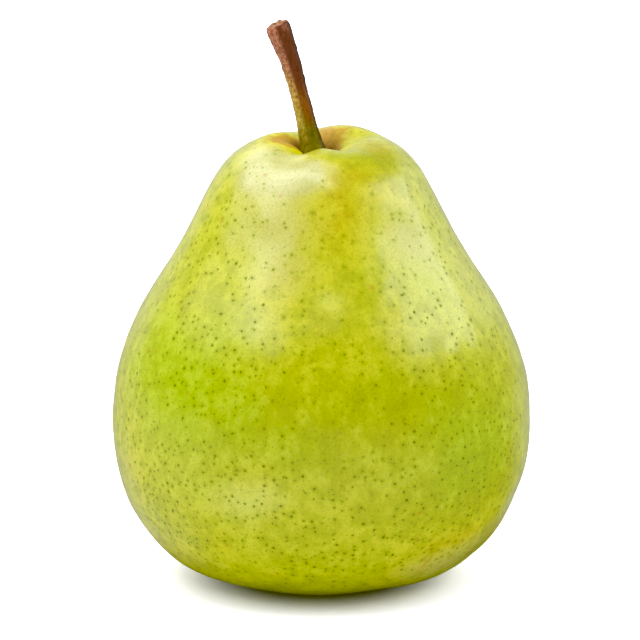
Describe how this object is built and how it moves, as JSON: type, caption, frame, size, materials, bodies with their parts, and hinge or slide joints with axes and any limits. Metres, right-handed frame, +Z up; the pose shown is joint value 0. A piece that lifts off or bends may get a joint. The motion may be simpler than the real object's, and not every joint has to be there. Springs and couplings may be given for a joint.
{
  "type": "pear",
  "caption": "Whole fresh green pear with its woody stem and the dried calyx underneath, standing upright on the lobes round its calyx basin.",
  "frame": {"origin": "on the surface that the pear stands on, under the middle of the fruit's width and depth", "axes": "+Z up towards the stem, -Y the pear's front, +X to its right seen from the front"},
  "size_m": [0.0802, 0.0798, 0.106],
  "materials": {
    "skin": "waxy green to yellow-green pear skin with fine dark dots and a little russet",
    "stem_bark": "red-brown bark turning olive green towards the fruit, satin",
    "dry_sepal": "withered, dark brown, matt",
    "dry_stamen": "withered, nearly black, matt"
  },
  "bodies": {
    "root": {"fruit_body": "skin", "stem": "stem_bark", "sepal_1": "dry_sepal", "sepal_2": "dry_sepal", "sepal_3": "dry_sepal", "sepal_4": "dry_sepal", "sepal_5": "dry_sepal", "stamen_tuft": "dry_stamen"}
  },
  "joints": []
}
